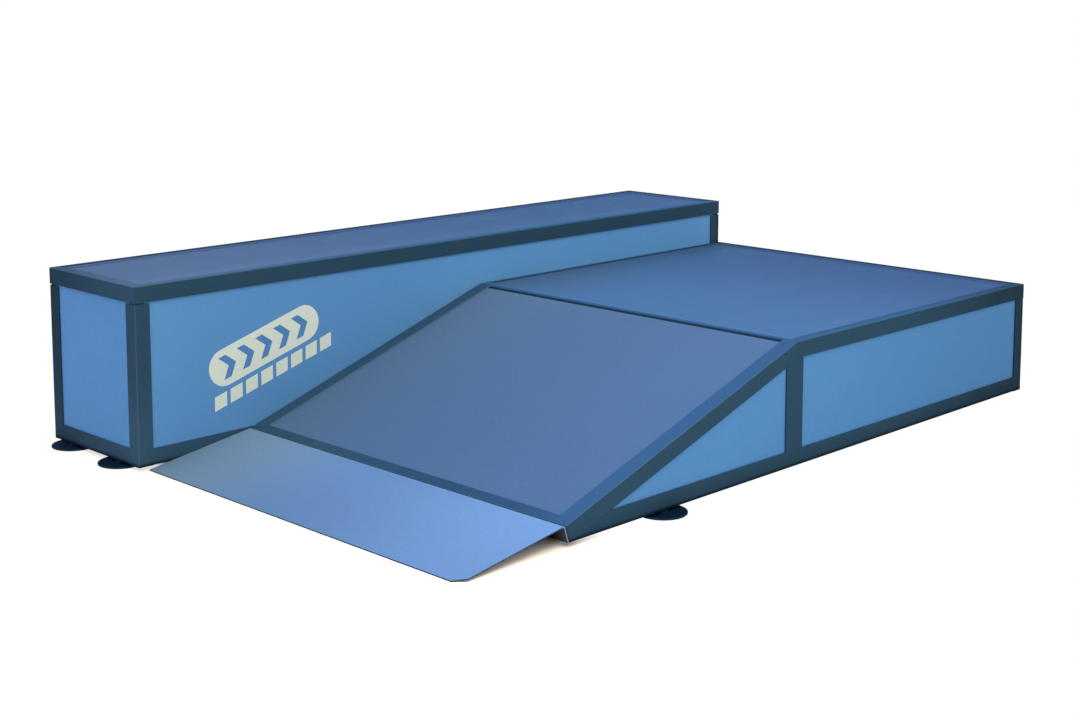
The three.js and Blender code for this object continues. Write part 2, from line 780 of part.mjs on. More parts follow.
function ledgeModule() {
  const module = new THREE.Group();
  for (const side of ["near", "far", "front", "back"]) {
    module.add(piece(`ledge_cap_angle_${side}`, ledgeCapAngle(side), darkSteel()));
  }
  module.add(piece("ledge_deck_board", ledgeDeck(), deckBoard()));
  const { near, far, front, back } = inwardFrom;
  const posts = {
    front_right: [ledgeNear, bodyFront, near, front],
    front_left: [ledgeFar, bodyFront, far, front],
    back_right: [ledgeNear, bodyBack, near, back],
    back_left: [ledgeFar, bodyBack, far, back],
  };
  for (const [name, [x, y, across, along]] of Object.entries(posts)) {
    module.add(piece(`ledge_post_${name}`, ledgePost(x, y, across, along), darkSteel()));
  }
  module.add(piece("ledge_rail_near", ledgeLongRail(ledgeNear, near), darkSteel()));
  module.add(piece("ledge_rail_far", ledgeLongRail(ledgeFar, far), darkSteel()));
  module.add(piece("ledge_rail_front", ledgeEndRail(bodyFront, front), darkSteel()));
  module.add(piece("ledge_rail_back", ledgeEndRail(bodyBack, back), darkSteel()));
  module.add(piece("ledge_panel_near", ledgeLongPanel(ledgeNear, near), sideBoard()));
  module.add(piece("ledge_panel_far", ledgeLongPanel(ledgeFar, far), sideBoard()));
  module.add(piece("ledge_panel_front", ledgeEndPanel(bodyFront, front), sideBoard()));
  module.add(piece("ledge_panel_back", ledgeEndPanel(bodyBack, back), sideBoard()));
  for (let index = 1; index <= ledgeBearerCount; index++) {
    module.add(piece(`ledge_bearer_${index}`, ledgeBearer(index), darkSteel()));
  }
  return module;
}

function bankPieces() {
  const bank = new THREE.Group();
  bank.rotation.x = bankAngle;
  bank.position.set(0, bankFrontY, bankFrontZ);
  bank.add(piece("bank_rim_right", bankSideRim(rampRight, inwardFrom.near), rimSteel()));
  bank.add(piece("bank_rim_left", bankSideRim(rampLeft, inwardFrom.far), rimSteel()));
  bank.add(piece("bank_rim_front", bankFrontRim(), rimSteel()));
  bank.add(piece("bank_deck_board", bankDeck(), deckBoard()));
  for (let index = 1; index <= bankBearerCount; index++) {
    bank.add(piece(`bank_bearer_${index}`, bankBearer(index), darkSteel()));
  }
  return bank;
}

function rampModule() {
  const module = new THREE.Group();
  const { near, far, back } = inwardFrom;
  const postTop = platformHeight - angleLeg - seatGap;
  const wide = platformRimWidth;
  module.add(bankPieces());
  module.add(piece("platform_rim_right", platformSideRim(rampRight, near, wide), rimSteel()));
  module.add(piece("platform_rim_left", platformSideRim(rampLeft, far, platformWallRimWidth), rimSteel()));
  module.add(piece("platform_rim_back", platformBackRim(), rimSteel()));
  module.add(piece("knee_rim", kneeRim(), rimSteel()));
  module.add(piece("platform_deck_board", platformDeck(), deckBoard()));
  for (let index = 1; index <= platformBearerCount; index++) {
    module.add(piece(`platform_bearer_${index}`, platformBearer(index), darkSteel()));
  }
  module.add(piece("knee_post_right", kneePost(rampRight, far), darkSteel()));
  module.add(piece("knee_post_left", kneePost(rampLeft, near), darkSteel()));
  module.add(piece("rear_post_right", cornerPost(rampRight, bodyBack, near, back, postTop), darkSteel()));
  module.add(piece("rear_post_left", cornerPost(rampLeft, bodyBack, far, back, postTop), darkSteel()));
  module.add(piece("ramp_rail_right", rampSideRail(rampRight, near), darkSteel()));
  module.add(piece("ramp_rail_left", rampSideRail(rampLeft, far), darkSteel()));
  module.add(piece("ramp_rail_back", rampBackRail(), darkSteel()));
  module.add(piece("ramp_panel_triangle", trianglePanel(), sideBoard()));
  module.add(piece("ramp_panel_side", rectanglePanel(), sideBoard()));
  module.add(piece("ramp_panel_back", rampBackPanel(), sideBoard()));
  module.add(piece("entry_plate", entryPlate(), entrySheet()));
  return module;
}

function levellingFeet() {
  const feet = new THREE.Group();
  for (const [name, place] of Object.entries(footPlaces())) {
    const plate = piece(`foot_plate_${name}`, footPlate(), footSteel());
    const spindle = piece(`foot_spindle_${name}`, footSpindle(), zincSteel());
    plate.position.set(place.x, place.y, 0);
    spindle.position.set(place.x, place.y, 0);
    feet.add(plate, spindle);
  }
  return feet;
}

// The part's origin lies on the ground, under the middle of everything that it reaches over
function groundMiddle() {
  const proud = Math.max(0, discRadius - footInset);
  const right = rampRight + proud;
  const front = Math.min(0, bodyFront - proud);
  const back = Math.max(ledgeLength, bodyBack + proud);
  return new THREE.Vector2((right - ledgeWidth) / 2, (front + back) / 2);
}

const obstacle = new THREE.Group();
const middle = groundMiddle();
obstacle.add(ledgeModule(), rampModule(), levellingFeet());
for (const child of obstacle.children) child.position.set(-middle.x, -middle.y, 0);

export default obstacle;
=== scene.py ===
"""Looks of a steel skate obstacle: a grind ledge beside a lower flat bank ramp with a platform.

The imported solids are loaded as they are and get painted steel, coated board and sheet finishes. The
small pieces are modelled here: threaded spindles, screws, bolts and the painted sign on the ledge.
All sizes are in metres, +Z is up, and riders travel along +Y.
"""

import logging
import math
from dataclasses import dataclass, field, replace
from enum import Enum, IntEnum
from functools import cached_property
from typing import Callable, Optional, Sequence, Union

import bmesh
import bpy
from mathutils import Matrix, Vector


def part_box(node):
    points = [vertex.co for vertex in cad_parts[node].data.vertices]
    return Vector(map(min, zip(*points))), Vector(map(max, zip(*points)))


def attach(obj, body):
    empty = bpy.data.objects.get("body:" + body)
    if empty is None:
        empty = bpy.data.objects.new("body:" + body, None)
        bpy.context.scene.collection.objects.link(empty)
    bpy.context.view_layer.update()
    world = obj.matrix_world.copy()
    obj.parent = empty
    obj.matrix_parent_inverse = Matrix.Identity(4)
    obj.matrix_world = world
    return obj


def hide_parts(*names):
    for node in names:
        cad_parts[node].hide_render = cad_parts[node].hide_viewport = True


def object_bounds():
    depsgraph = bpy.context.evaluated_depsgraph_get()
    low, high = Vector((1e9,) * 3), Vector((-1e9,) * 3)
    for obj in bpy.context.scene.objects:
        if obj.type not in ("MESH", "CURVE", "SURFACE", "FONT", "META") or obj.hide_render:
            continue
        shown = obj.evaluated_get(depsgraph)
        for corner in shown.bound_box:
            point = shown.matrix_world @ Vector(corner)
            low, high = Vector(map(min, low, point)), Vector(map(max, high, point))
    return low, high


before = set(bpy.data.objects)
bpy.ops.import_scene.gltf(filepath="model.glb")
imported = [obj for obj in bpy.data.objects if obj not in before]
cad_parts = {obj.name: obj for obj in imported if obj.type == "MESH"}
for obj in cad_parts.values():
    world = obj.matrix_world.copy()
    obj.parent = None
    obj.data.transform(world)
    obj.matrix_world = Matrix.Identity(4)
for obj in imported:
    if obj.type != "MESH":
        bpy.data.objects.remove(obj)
CAD_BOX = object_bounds()

log = logging.getLogger("obstacle")

Colour = tuple[float, float, float]
Place = tuple[float, float, float]
Span = tuple[float, float]
Screen = tuple[int, int, int]
Mask = Union["Signal", float]
Paint = Union[Screen, "Fade"]
Values = Optional[dict]
Owner = Union[bpy.types.Material, bpy.types.World]

MM = 0.001
FRAME_BODY = "frame"
WHITE = (1.0, 1.0, 1.0)
HEXAGON = 6
ROUND = 24
FLAT_FACE = 0.9
SHARP_EDGE = math.radians(40)
SMOOTH_EDGE = math.radians(35)


def shade(colour: Screen) -> Colour:
    """Turns a colour as seen on a screen, with 0 to 255 per channel, into linear light."""
    shares = [level / 255 for level in colour]
    return tuple(share / 12.92 if share <= 0.04045 else ((share + 0.055) / 1.055) ** 2.4 for share in shares)


class Axis(IntEnum):
    """An axis of the obstacle, as its place in a vector."""

    ACROSS = 0
    ALONG = 1
    UP = 2


ACROSS, ALONG, UP = Axis


@dataclass(frozen=True)
class Fade:
    """A colour, or another fade, that turns smoothly into the next along one axis of the obstacle."""

    first: Paint
    second: Paint
    axis: Axis
    start: float
    end: float


@dataclass(frozen=True)
class Grain:
    """A soft random pattern, and how far it swings a value to both sides.

    The scale is in blotches to a metre, and the ends are the levels that the swing is spread over.
    """

    scale: float
    layers: float
    swing: float = 0.0
    ends: Span = (0.3, 0.7)
    fineness: float = 0.55
    stretch: Place = (1.0, 1.0, 1.0)


BROAD = (0.25, 0.75)
FIBRE = Grain(330.0, 3.0, 0.06)
SMOOTH_FIBRE = Grain(330.0, 3.0, 0.04)
FAINT_FIBRE = Grain(330.0, 3.0, 0.02)


class Signal:
    """A shader value that is worked out with Python's own arithmetic."""

    def __init__(self, sheet: "Sheet", socket: bpy.types.NodeSocket) -> None:
        """Keeps the node sheet and the output socket that the value comes from."""
        self.sheet = sheet
        self.socket = socket

    def maths(self, operation: str, *others: Mask, swapped: bool = False) -> "Signal":
        """Adds one Math node, whose second operand is this value if swapped."""
        operands = (others[0], self) if swapped else (self, *others)
        return self.sheet.node("ShaderNodeMath", dict(enumerate(operands)), {"operation": operation})

    def __add__(self, other: Mask) -> "Signal":
        """Adds."""
        return self.maths("ADD", other)

    def __mul__(self, other: Mask) -> "Signal":
        """Multiplies."""
        return self.maths("MULTIPLY", other)

    def __sub__(self, other: Mask) -> "Signal":
        """Subtracts a value."""
        return self.maths("SUBTRACT", other)

    def __rsub__(self, other: Mask) -> "Signal":
        """Is subtracted from a value."""
        return self.maths("SUBTRACT", other, swapped=True)

    def __abs__(self) -> "Signal":
        """Drops the sign."""
        return self.maths("ABSOLUTE")

    def between(self, low: float, high: float, start: float = 0.0, end: float = 1.0) -> "Signal":
        """Rises smoothly from start to end while the value goes from low to high.

        Args:
            low: Value where the rise begins.
            high: Value where it ends.
            start: Result at low and before it.
            end: Result at high and past it.

        Returns:
            The smooth step.
        """
        settings = {"interpolation_type": "SMOOTHSTEP", "clamp": True}
        inputs = {"Value": self, "From Min": low, "From Max": high, "To Min": start, "To Max": end}
        return self.sheet.node("ShaderNodeMapRange", inputs, settings)

    def swing(self, grain: Grain, middle: float = 1.0) -> "Signal":
        """Turns a pattern's level into a value that goes to both sides of its middle."""
        return self.between(*grain.ends, middle - grain.swing, middle + grain.swing)


class Sheet:
    """The node sheet of one material, or of the world."""

    def __init__(self, owner: Owner) -> None:
        """Empties the sheet of its owner."""
        owner.use_nodes = True
        self.owner = owner
        self.tree = owner.node_tree
        self.tree.nodes.clear()

    @classmethod
    def named(cls, name: str) -> "Sheet":
        """Starts the sheet of a new material."""
        return cls(bpy.data.materials.new(name))

    def add(self, kind: str, inputs: Values = None, settings: Values = None) -> bpy.types.Node:
        """Adds one node.

        Args:
            kind: The node's type.
            inputs: Values or signals for its sockets, by name or place.
            settings: Its settings, which are set before its sockets.

        Returns:
            The node.
        """
        made = self.tree.nodes.new(kind)
        for name, value in (settings or {}).items():
            setattr(made, name, value)
        for socket, value in (inputs or {}).items():
            target = made.inputs[socket]
            if isinstance(value, Signal):
                self.tree.links.new(value.socket, target)
            elif isinstance(value, tuple) and target.type == "RGBA":
                target.default_value = (*value, 1.0)
            else:
                target.default_value = value
        return made

    def node(self, kind: str, inputs: Values = None, settings: Values = None,
             output: Union[int, str] = 0) -> Signal:
        """Adds one node and returns one of its outputs as a signal."""
        return Signal(self, self.add(kind, inputs, settings).outputs[output])

    def place(self) -> Signal:
        """Place of a point in the object's own frame, in metres."""
        return self.node("ShaderNodeTexCoord", output="Object")

    def split(self, vector: Signal) -> tuple[Signal, ...]:
        """Splits a vector into its three parts."""
        parts = self.add("ShaderNodeSeparateXYZ", {0: vector})
        return tuple(Signal(self, part) for part in parts.outputs)

    def facing(self) -> tuple[Signal, ...]:
        """The three parts of the direction that the surface faces."""
        return self.split(self.node("ShaderNodeNewGeometry", output="Normal"))

    def noise(self, grain: Grain) -> Signal:
        """Draws a soft random pattern.

        Args:
            grain: The pattern.

        Returns:
            The pattern's level, from 0 to 1.
        """
        inputs = {0: self.place(), "Scale": grain.stretch}
        place = self.node("ShaderNodeMapping", inputs, {"vector_type": "POINT"})
        inputs = {"Vector": place, "Scale": grain.scale, "Detail": grain.layers, "Roughness": grain.fineness}
        return self.node("ShaderNodeTexNoise", inputs, {"noise_dimensions": "3D"})

    def swing(self, grain: Grain, middle: float = 1.0) -> Signal:
        """Draws a pattern as a value that goes to both sides of its middle."""
        return self.noise(grain).swing(grain, middle)

    def blend(self, factor: Mask, first: Union[Colour, Signal], second: Union[Colour, Signal],
              mode: str = "MIX") -> Signal:
        """Mixes two colours, with the factor as the second one's share."""
        settings = {"data_type": "RGBA", "blend_type": mode, "clamp_factor": True}
        return self.node("ShaderNodeMix", {0: factor, 6: first, 7: second}, settings, output=2)

    def paint(self, colour: Paint) -> Union[Colour, Signal]:
        """Works out a paint at each point of the surface.

        Args:
            colour: A plain colour, as seen on a screen, or a fade.

        Returns:
            The plain colour in linear light, or the fade's colour as a signal.
        """
        if not isinstance(colour, Fade):
            return shade(colour)
        share = self.split(self.place())[colour.axis].between(colour.start, colour.end)
        return self.blend(share, self.paint(colour.first), self.paint(colour.second))

    def tone(self, colour: Union[Colour, Signal], level: Signal) -> Signal:
        """Scales a colour's brightness by a level."""
        return self.node("ShaderNodeVectorMath", {0: colour, "Scale": level}, {"operation": "SCALE"})

    def bump(self, height: Signal, depth: float, strength: float) -> Signal:
        """Turns a pattern from 0 to 1, so many metres deep, into a change of the surface's direction."""
        return self.node("ShaderNodeBump", {"Strength": strength, "Distance": depth, "Height": height})

    def close(self, shader: Signal, output: str = "ShaderNodeOutputMaterial") -> Owner:
        """Links the last shader to the output, and returns the material or world that is done."""
        self.add(output, {"Surface": shader})
        return self.owner

    def surface(self, colour: Signal, rough: Signal, normal: Signal, gloss: float,
                metallic: float = 0.0) -> bpy.types.Material:
        """Ends the sheet with the surface shader, and returns the finished material."""
        inputs = {"Metallic": metallic, "Specular IOR Level": gloss,
                  "Base Color": colour, "Roughness": rough, "Normal": normal}
        return self.close(self.node("ShaderNodeBsdfPrincipled", inputs))


@dataclass(frozen=True)
class PaintedSteel:
    """Powder coat on rolled steel, with painted light: faces that look up are painted lighter and bluer,
    rolled edges get a painted highlight, and painted shade darkens it close to the ground.

    A turn is a span of how far a face looks one way, and a reach is a span of places, in metres.
    """

    name: str
    # side and top: the coat's colour on sideways and upward faces, as shaded and lit copies of one paint
    side: Paint
    top: Paint
    # edge: colour of the painted highlight on rolled edges and outward corners
    edge: Screen
    # inner: colour painted on the step face beside the deck, as painted light and shade on that face
    inner: Optional[Paint] = None
    inner_axis: Axis = ACROSS
    inner_sign: float = 1.0
    roughness: float = 0.55
    gloss: float = 0.012
    edge_highlight_share: float = 0.75
    corner_highlight_share: float = 0.3
    front_light_tint: Colour = (0.80, 0.84, 0.97)
    # painted shade: how dark the coat is painted towards the left, the back, the far end and the ground
    left_shade: float = 0.62
    back_shade: float = 0.95
    end_shade: float = 1.0
    low_shade: float = 0.86
    foot_shade: float = 0.25
    turned_shade: float = 0.45
    left_reach: Span = (-0.86, -0.42)
    back_reach: Span = (0.4, 1.3)
    end_reach: Span = (1.19, 1.212)
    low_reach: Span = (0.0, 0.07)
    foot_reach: Span = (0.014, 0.026)
    top_turn: Span = (0.55, 0.92)
    roll_from: Span = (0.3, 0.55)
    roll_to: Span = (0.75, 0.9)
    corner_turn: Span = (0.2, 0.45)
    face_turn: Span = (0.5, 0.85)
    away_turn: Span = (0.15, 0.4)
    cloud: Grain = Grain(5.0, 3.0, 0.03, BROAD)
    speckle: Grain = Grain(300.0, 2.0, 0.05)
    wear: Grain = Grain(40.0, 2.0, 0.05)
    peel: Grain = Grain(700.0, 1.0)
    peel_depth: float = 0.05 * MM
    peel_strength: float = 0.5

    def painted_shade(self, sheet: Sheet) -> Signal:
        """Painted shade: brightness that drops towards the left, the back, the far end and the ground.

        Args:
            sheet: The sheet that the finish is drawn on.

        Returns:
            The brightness.
        """
        right, back, height = sheet.split(sheet.place())
        sideways = right.between(*self.left_reach, self.left_shade, 1.0)
        lengthways = back.between(*self.back_reach, 1.0, self.back_shade)
        end = back.between(*self.end_reach, 1.0, self.end_shade)
        low = height.between(*self.low_reach, self.low_shade, 1.0)
        foot = height.between(*self.foot_reach, self.foot_shade, 1.0)
        return sideways * lengthways * end * (low * foot)

    def make(self) -> bpy.types.Material:
        """Draws the finish.

        Returns:
            The finished material.
        """
        sheet = Sheet.named(f"{self.name} powder coat")
        facing = sheet.facing()
        across, along, up = facing
        # painted light: faces that look up take the top colour, faces that look sideways the side colour
        colour = sheet.blend(up.between(*self.top_turn), sheet.paint(self.side), sheet.paint(self.top))
        # painted highlight: rolled top edges and outward corners take the edge colour
        rolled_top = up.between(*self.roll_from) * (1 - up.between(*self.roll_to))
        turned = across * along
        rolled_corner = (turned * -1).between(*self.corner_turn)
        painted_highlight = rolled_top * self.edge_highlight_share + rolled_corner * self.corner_highlight_share
        colour = sheet.blend(painted_highlight, colour, sheet.paint(self.edge))
        # painted light: faces that look to the front get their own light tint
        front = sheet.blend(1.0, colour, self.front_light_tint, mode="MULTIPLY")
        colour = sheet.blend((along * -1).between(*self.face_turn), colour, front)
        # painted light and shade: the step face beside the deck takes the inner colour
        if self.inner:
            inwards = (facing[self.inner_axis] * self.inner_sign).between(*self.face_turn)
            colour = sheet.blend(inwards, colour, sheet.paint(self.inner))
        mottle = sheet.swing(self.cloud) * sheet.swing(self.speckle)
        # painted shade: corners that turn away from the front right are painted darker
        turned_away = turned.between(*self.away_turn, 1.0, self.turned_shade)
        # mottle is the coat's own; the turned-away corners and the drop towards left, back and ground darken
        # it as painted shade
        colour = sheet.tone(colour, mottle * turned_away * self.painted_shade(sheet))
        rough = sheet.swing(self.wear, self.roughness)
        normal = sheet.bump(sheet.noise(self.peel), self.peel_depth, self.peel_strength)
        return sheet.surface(colour, rough, normal, self.gloss)


@dataclass(frozen=True)
class CoatedBoard:
    """Coated plywood with a fine mottle, and painted light and shade that drifts across the board."""

    name: str
    colour: Paint
    roughness: float = 0.6
    gloss: float = 0.012
    cloud: Grain = Grain(3.2, 3.0, 0.012, BROAD)
    mottle: Grain = Grain(110.0, 2.0, 0.02)
    fibre: Grain = FIBRE
    wear: Grain = Grain(9.0, 3.0, 0.04)
    fibre_depth: float = 0.06 * MM
    fibre_strength: float = 0.6
    drift_axis: Axis = ALONG
    drift_reach: Span = (0.2, 1.25)
    light_drift_tone: float = 1.0

    def make(self) -> bpy.types.Material:
        """Draws the finish.

        Returns:
            The finished material.
        """
        sheet = Sheet.named(self.name)
        fibre = sheet.noise(self.fibre)
        mottle = sheet.swing(self.cloud) * sheet.swing(self.mottle) * fibre.swing(self.fibre)
        # painted light and shade: the board's brightness is painted to drift along one axis
        light_drift = sheet.split(sheet.place())[self.drift_axis].between(*self.drift_reach, 1.0, self.light_drift_tone)
        colour = sheet.tone(sheet.paint(self.colour), mottle * light_drift)
        rough = sheet.swing(self.wear, self.roughness)
        normal = sheet.bump(fibre, self.fibre_depth, self.fibre_strength)
        return sheet.surface(colour, rough, normal, self.gloss)


@dataclass(frozen=True)
class SheetPaint:
    """Pale coat on the bent entry sheet, with dark cut edges, a painted highlight on the flange's ends,
    painted shade on the faces under the sheet and painted light along its top.
    """

    name: str
    top: Paint
    shaded_underside: Paint
    cut_edge: Screen
    flange_edge_highlight: Screen
    toe: float
    lip: float = -1.19
    lip_height: float = 10 * MM
    lip_light_tone: float = 0.9
    toe_light_tone: float = 1.04
    roughness: float = 0.5
    gloss: float = 0.012
    top_turn: Span = (0.3, 0.6)
    end_turn: Span = (0.5, 0.8)
    mottle: Grain = Grain(110.0, 2.0, 0.02)
    speckle: Grain = Grain(330.0, 2.0, 0.04)
    wear: Grain = Grain(12.0, 3.0, 0.05)
    speckle_depth: float = 0.03 * MM
    speckle_strength: float = 0.5

    def make(self) -> bpy.types.Material:
        """Draws the finish.

        Returns:
            The finished material.
        """
        sheet = Sheet.named(self.name)
        across, _, up = sheet.facing()
        _, along, height = sheet.split(sheet.place())
        # painted shade: faces under the sheet and on the flange take the dark underside colour
        above_lip = height.between(self.lip_height - MM, self.lip_height)
        cut_edge = sheet.paint(self.cut_edge)
        colour = sheet.blend(above_lip, cut_edge, sheet.paint(self.shaded_underside))
        # painted light: the top is painted lighter from the lip towards the toe
        light_drift = along.between(self.lip, self.toe, self.lip_light_tone, self.toe_light_tone)
        colour = sheet.blend(up.between(*self.top_turn), colour, sheet.tone(sheet.paint(self.top), light_drift))
        # painted highlight on the flange's cut ends
        past_toe = along.between(self.toe - MM, self.toe + MM)
        end = sheet.blend(past_toe, cut_edge, sheet.paint(self.flange_edge_highlight))
        colour = sheet.blend(abs(across).between(*self.end_turn), colour, end)
        speckle = sheet.noise(self.speckle)
        colour = sheet.tone(colour, sheet.swing(self.mottle) * speckle.swing(self.speckle))
        rough = sheet.swing(self.wear, self.roughness)
        normal = sheet.bump(speckle, self.speckle_depth, self.speckle_strength)
        return sheet.surface(colour, rough, normal, self.gloss)


@dataclass(frozen=True)
class BareSteel:
    """Zinc plated steel with a fine drawn grain round the bar."""

    name: str
    colour: Screen
    roughness: Span = (0.28, 0.46)
    gloss: float = 0.5
    tones: Span = (0.86, 1.08)
    bloom: Grain = Grain(160.0, 3.0)
    drawn: Grain = Grain(1200.0, 2.0, stretch=(1.0, 1.0, 6.0))
    drawn_depth: float = 0.02 * MM
    drawn_strength: float = 0.5

    def make(self) -> bpy.types.Material:
        """Draws the finish.

        Returns:
            The finished material.
        """
        sheet = Sheet.named(self.name)
        bloom = sheet.noise(self.bloom)
        colour = sheet.tone(sheet.paint(self.colour), bloom.between(*self.bloom.ends, *self.tones))
        rough = bloom.between(*self.bloom.ends, *self.roughness)
        normal = sheet.bump(sheet.noise(self.drawn), self.drawn_depth, self.drawn_strength)
        return sheet.surface(colour, rough, normal, self.gloss, metallic=1.0)


Recipe = Union[PaintedSteel, CoatedBoard, SheetPaint, BareSteel]


class Slot(Enum):
    """The record's names of two material slots, which nothing in this script uses."""

    SIDE = "side_board"
    ZINC = "zinc_steel"


class Pick(Enum):
    """What a selection in edit mode is made of."""

    POINT = "VERT"
    EDGE = "EDGE"
    FACE = "FACE"


class Bench:
    """Where a new piece is shaped by operators, one at a time."""

    @staticmethod
    def clear() -> None:
        """Leaves edit mode and deselects everything."""
        if bpy.context.object and bpy.context.object.mode != "OBJECT":
            bpy.ops.object.mode_set(mode="OBJECT")
        bpy.ops.object.select_all(action="DESELECT")

    @staticmethod
    def edit() -> None:
        """Goes into edit mode with nothing selected."""
        bpy.ops.object.mode_set(mode="EDIT")
        bpy.ops.mesh.select_all(action="DESELECT")

    @staticmethod
    def done(name: str) -> bpy.types.Object:
        """Leaves edit mode, bakes the piece's place into its mesh and names it.

        Args:
            name: The piece's name.

        Returns:
            The piece, with its object at the origin.
        """
        piece = bpy.context.object
        if piece.mode != "OBJECT":
            bpy.ops.object.mode_set(mode="OBJECT")
        bpy.ops.object.transform_apply(location=True, rotation=True, scale=True)
        piece.name = piece.data.name = name
        return piece

    @staticmethod
    def pick(kind: Pick, test: Callable[[object], bool]) -> None:
        """Selects what passes a test, in edit mode.

        Args:
            kind: Points, edges or faces.
            test: Takes one point, edge or face, and says whether it is selected.
        """
        bpy.ops.mesh.select_mode(type=kind.value)
        bpy.ops.mesh.select_all(action="DESELECT")
        mesh = bmesh.from_edit_mesh(bpy.context.object.data)
        group = {Pick.POINT: mesh.verts, Pick.EDGE: mesh.edges, Pick.FACE: mesh.faces}[kind]
        for element in [element for element in group if test(element)]:
            element.select = True
        mesh.select_flush_mode()
        bmesh.update_edit_mesh(bpy.context.object.data)

    @staticmethod
    def pick_end(way: int, beyond: float = -math.inf) -> None:
        """Selects the level faces that look up (1) or down (-1), and lie beyond a level that way."""
        Bench.pick(Pick.FACE, lambda face: (way * face.normal.z > FLAT_FACE
                                            and way * face.calc_center_median().z > beyond))

    @staticmethod
    def extrude(rise: float) -> None:
        """Extrudes the selected faces upwards, or down where the rise is below 0."""
        bpy.ops.mesh.extrude_region_move(TRANSFORM_OT_translate={"value": (0, 0, rise)})

    @staticmethod
    def widen(factor: float) -> None:
        """Scales the selection sideways about the upright axis."""
        bpy.ops.transform.resize(value=(factor, factor, 1.0), center_override=(0, 0, 0))

    @staticmethod
    def squeeze(factor_at: Callable[[Vector], float]) -> None:
        """Moves the selected points to or from the upright axis.

        Args:
            factor_at: Takes a point's place, and gives the factor on its distance.
        """
        mesh = bmesh.from_edit_mesh(bpy.context.object.data)
        for point in [point for point in mesh.verts if point.select]:
            factor = factor_at(point.co)
            point.co.x *= factor
            point.co.y *= factor
        bmesh.update_edit_mesh(bpy.context.object.data)

    @staticmethod
    def hexagon(flat: float) -> None:
        """Moves the selected ring of points onto a hexagon, whose sides lie so far from the upright axis."""
        arc = math.tau / HEXAGON
        Bench.squeeze(lambda at: flat / math.cos(math.atan2(at.y, at.x) % arc - arc / 2) / at.to_2d().length)

    @staticmethod
    def cylinder(radius: float, low: float, high: float, sides: int) -> None:
        """Adds an upright cylinder round the origin's axis, as a start, and goes into edit mode.

        Args:
            radius: Its radius, to its corners.
            low: Level of its lower end.
            high: Level of its upper end.
            sides: Number of its sides.
        """
        Bench.clear()
        middle = (0.0, 0.0, (low + high) / 2)
        bpy.ops.mesh.primitive_cylinder_add(vertices=sides, radius=radius, depth=high - low, location=middle)
        bpy.ops.object.transform_apply(location=True)
        Bench.edit()

    @staticmethod
    def copy(piece: bpy.types.Object, name: str, move: Matrix) -> bpy.types.Object:
        """Copies a piece with its own mesh, whose place goes into the mesh.

        Args:
            piece: The piece to copy.
            name: The copy's name.
            move: Where the copy goes.

        Returns:
            The copy.
        """
        twin = piece.copy()
        twin.data = piece.data.copy()
        twin.data.transform(move)
        twin.name = twin.data.name = name
        bpy.context.scene.collection.objects.link(twin)
        return twin

    @staticmethod
    def bevel(piece: bpy.types.Object, width: float, segments: int = 2) -> None:
        """Rounds a finished piece's sharp edges.

        Args:
            piece: The piece.
            width: Width of the bevel.
            segments: Number of its steps.
        """
        Bench.clear()
        piece.select_set(True)
        bpy.context.view_layer.objects.active = piece
        bpy.ops.object.modifier_add(type="BEVEL")
        modifier = piece.modifiers[-1]
        modifier.width = width
        modifier.segments = segments
        modifier.limit_method = "ANGLE"
        modifier.angle_limit = SHARP_EDGE
        bpy.ops.object.modifier_apply(modifier=modifier.name)
        bpy.ops.object.shade_smooth_by_angle(angle=SMOOTH_EDGE)


def dress(piece: bpy.types.Object, material: bpy.types.Material) -> None:
    """Gives a piece one material.

    Args:
        piece: The piece.
        material: Its material.
    """
    if not piece.data.materials:
        piece.data.materials.append(material)
    for slot in piece.material_slots:
        slot.material = material


